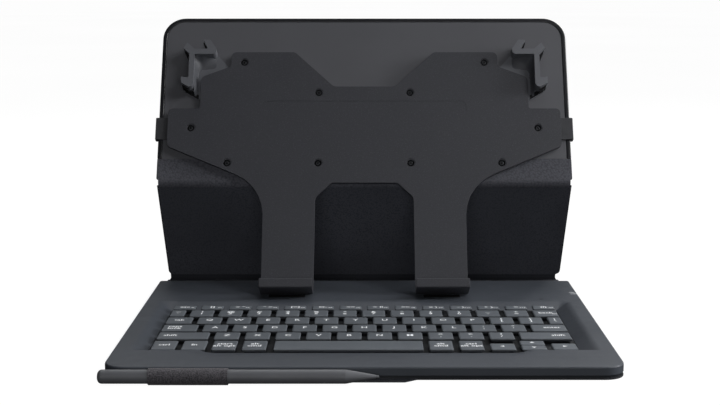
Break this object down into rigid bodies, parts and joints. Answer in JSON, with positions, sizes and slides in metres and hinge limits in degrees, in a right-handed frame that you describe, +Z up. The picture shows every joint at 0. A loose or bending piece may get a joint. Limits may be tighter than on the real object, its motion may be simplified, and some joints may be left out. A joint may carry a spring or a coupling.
{
  "type": "tablet keyboard case",
  "caption": "Slim keyboard deck with a folding fabric cover whose carrier plate holds a tablet by foot hooks and sprung corner grippers.",
  "frame": {"origin": "on the ground, under the middle of the part's bounding box", "axes": "+X to the user's right, +Y to the back, +Z up"},
  "size_m": [0.2732, 0.2616, 0.1773],
  "materials": {
    "deck_plastic": "satin",
    "case_dark": "satin",
    "cover_fabric": "woven",
    "skin": "coated",
    "flap_lining": "smooth",
    "panel_lining": "smooth",
    "rough_skin": "coarse",
    "rim": "satin",
    "core_board": "pressed board",
    "carrier": "fine grain",
    "gripper": "satin",
    "key_cap": "satin",
    "rubber": "matte",
    "link_plastic": "natural",
    "support_steel": "brushed",
    "screw_metal": "blackened",
    "magnet": "plated",
    "circuit": "lacquered",
    "cell_metal": "bright",
    "elastic": "ribbed",
    "light_lens": "clear",
    "stylus_body": "satin",
    "stylus_tip": "satin"
  },
  "bodies": {
    "keyboard_base": {"bottom_cover": "cover_fabric", "spine_strip": "cover_fabric", "bottom_case": "case_dark", "top_case": "deck_plastic", "support_plate": "support_steel", "dome_sheet": "rubber", "scissor_links": "link_plastic", "circuit_board": "circuit", "battery_bay": "case_dark", "dock_magnets": "magnet", "dock_strips": "rubber", "case_screws": "screw_metal", "status_light": "light_lens", "stylus_loop": "elastic"},
    "function_keys": {"function_keys": "key_cap"},
    "number_keys": {"number_keys": "key_cap"},
    "backspace_key": {"backspace_key": "key_cap"},
    "tab_key": {"tab_key": "key_cap"},
    "upper_letter_keys": {"upper_letter_keys": "key_cap"},
    "caps_lock_key": {"caps_lock_key": "key_cap"},
    "home_letter_keys": {"home_letter_keys": "key_cap"},
    "enter_key": {"enter_key": "key_cap"},
    "left_shift_key": {"left_shift_key": "key_cap"},
    "lower_letter_keys": {"lower_letter_keys": "key_cap"},
    "right_shift_key": {"right_shift_key": "key_cap"},
    "modifier_keys": {"modifier_keys": "key_cap"},
    "space_bar": {"space_bar": "key_cap"},
    "arrow_keys": {"arrow_keys": "key_cap"},
    "power_switch": {"power_switch": "case_dark"},
    "battery_tray": {"battery_tray": "case_dark", "coin_cells": "cell_metal"},
    "flap": {"fold_band": "cover_fabric", "flap_skin": "skin", "flap_board": "core_board", "flap_lining": "flap_lining"},
    "back_panel": {"crease_cord": "skin", "panel_skin": "skin", "panel_board": "core_board", "panel_lining": "panel_lining", "rough_strip": "rough_skin", "panel_rim": "rim", "carrier_backing": "carrier", "carrier_shell": "carrier", "carrier_screws": "screw_metal", "left_foot_hook": "carrier", "right_foot_hook": "carrier", "hook_pads": "rubber", "hook_magnets": "magnet", "left_edge_loop": "elastic", "right_edge_loop": "elastic", "gripper_bands": "rubber"},
    "left_gripper": {"left_gripper": "gripper"},
    "right_gripper": {"right_gripper": "gripper"},
    "stylus": {"stylus_barrel": "stylus_body", "stylus_tip": "stylus_tip", "stylus_cap": "stylus_body"}
  },
  "joints": [
    {"name": "function_keys_press", "type": "slide", "parent": "keyboard_base", "child": "function_keys", "axis": [0, 0, -1], "range_m": [0, 0.0013], "stiffness_N_per_m": 400, "springref_m": -0.001},
    {"name": "number_keys_press", "type": "slide", "parent": "keyboard_base", "child": "number_keys", "axis": [0, 0, -1], "range_m": [0, 0.0013], "stiffness_N_per_m": 400, "springref_m": -0.001},
    {"name": "backspace_key_press", "type": "slide", "parent": "keyboard_base", "child": "backspace_key", "axis": [0, 0, -1], "range_m": [0, 0.0013], "stiffness_N_per_m": 400, "springref_m": -0.001},
    {"name": "tab_key_press", "type": "slide", "parent": "keyboard_base", "child": "tab_key", "axis": [0, 0, -1], "range_m": [0, 0.0013], "stiffness_N_per_m": 400, "springref_m": -0.001},
    {"name": "upper_letter_keys_press", "type": "slide", "parent": "keyboard_base", "child": "upper_letter_keys", "axis": [0, 0, -1], "range_m": [0, 0.0013], "stiffness_N_per_m": 400, "springref_m": -0.001},
    {"name": "caps_lock_key_press", "type": "slide", "parent": "keyboard_base", "child": "caps_lock_key", "axis": [0, 0, -1], "range_m": [0, 0.0013], "stiffness_N_per_m": 400, "springref_m": -0.001},
    {"name": "home_letter_keys_press", "type": "slide", "parent": "keyboard_base", "child": "home_letter_keys", "axis": [0, 0, -1], "range_m": [0, 0.0013], "stiffness_N_per_m": 400, "springref_m": -0.001},
    {"name": "enter_key_press", "type": "slide", "parent": "keyboard_base", "child": "enter_key", "axis": [0, 0, -1], "range_m": [0, 0.0013], "stiffness_N_per_m": 400, "springref_m": -0.001},
    {"name": "left_shift_key_press", "type": "slide", "parent": "keyboard_base", "child": "left_shift_key", "axis": [0, 0, -1], "range_m": [0, 0.0013], "stiffness_N_per_m": 400, "springref_m": -0.001},
    {"name": "lower_letter_keys_press", "type": "slide", "parent": "keyboard_base", "child": "lower_letter_keys", "axis": [0, 0, -1], "range_m": [0, 0.0013], "stiffness_N_per_m": 400, "springref_m": -0.001},
    {"name": "right_shift_key_press", "type": "slide", "parent": "keyboard_base", "child": "right_shift_key", "axis": [0, 0, -1], "range_m": [0, 0.0013], "stiffness_N_per_m": 400, "springref_m": -0.001},
    {"name": "modifier_keys_press", "type": "slide", "parent": "keyboard_base", "child": "modifier_keys", "axis": [0, 0, -1], "range_m": [0, 0.0013], "stiffness_N_per_m": 400, "springref_m": -0.001},
    {"name": "space_bar_press", "type": "slide", "parent": "keyboard_base", "child": "space_bar", "axis": [0, 0, -1], "range_m": [0, 0.0013], "stiffness_N_per_m": 400, "springref_m": -0.001},
    {"name": "arrow_keys_press", "type": "slide", "parent": "keyboard_base", "child": "arrow_keys", "axis": [0, 0, -1], "range_m": [0, 0.0013], "stiffness_N_per_m": 400, "springref_m": -0.001},
    {"name": "switch_slide", "type": "slide", "parent": "keyboard_base", "child": "power_switch", "axis": [0, 1, 0], "range_m": [0, 0.003]},
    {"name": "tray_slide", "type": "slide", "parent": "keyboard_base", "child": "battery_tray", "axis": [-1, 0, 0], "range_m": [0, 0.044]},
    {"name": "cover_fold", "type": "hinge", "parent": "keyboard_base", "child": "flap", "pos_m": [0, 0.11162, 0.00045], "axis": [-1, 0, 0], "range_deg": [0, 115.14]},
    {"name": "crease_fold", "type": "hinge", "parent": "flap", "child": "back_panel", "pos_m": [0, 0.07763, 0.07287], "axis": [1, 0, 0], "range_deg": [0, 52.27]},
    {"name": "left_gripper_slide", "type": "slide", "parent": "back_panel", "child": "left_gripper", "axis": [-0.7604, 0.2956, 0.5783], "range_m": [0, 0.012], "stiffness_N_per_m": 150, "springref_m": -0.01},
    {"name": "right_gripper_slide", "type": "slide", "parent": "back_panel", "child": "right_gripper", "axis": [0.7604, 0.2956, 0.5783], "range_m": [0, 0.012], "stiffness_N_per_m": 150, "springref_m": -0.01},
    {"name": "stylus_slide", "type": "slide", "parent": "keyboard_base", "child": "stylus", "axis": [1, 0, 0], "range_m": [0, 0.064]}
  ],
  "couplings": [
    {"joint": "crease_fold", "follows": "cover_fold", "ratio": 0.45352}
  ]
}
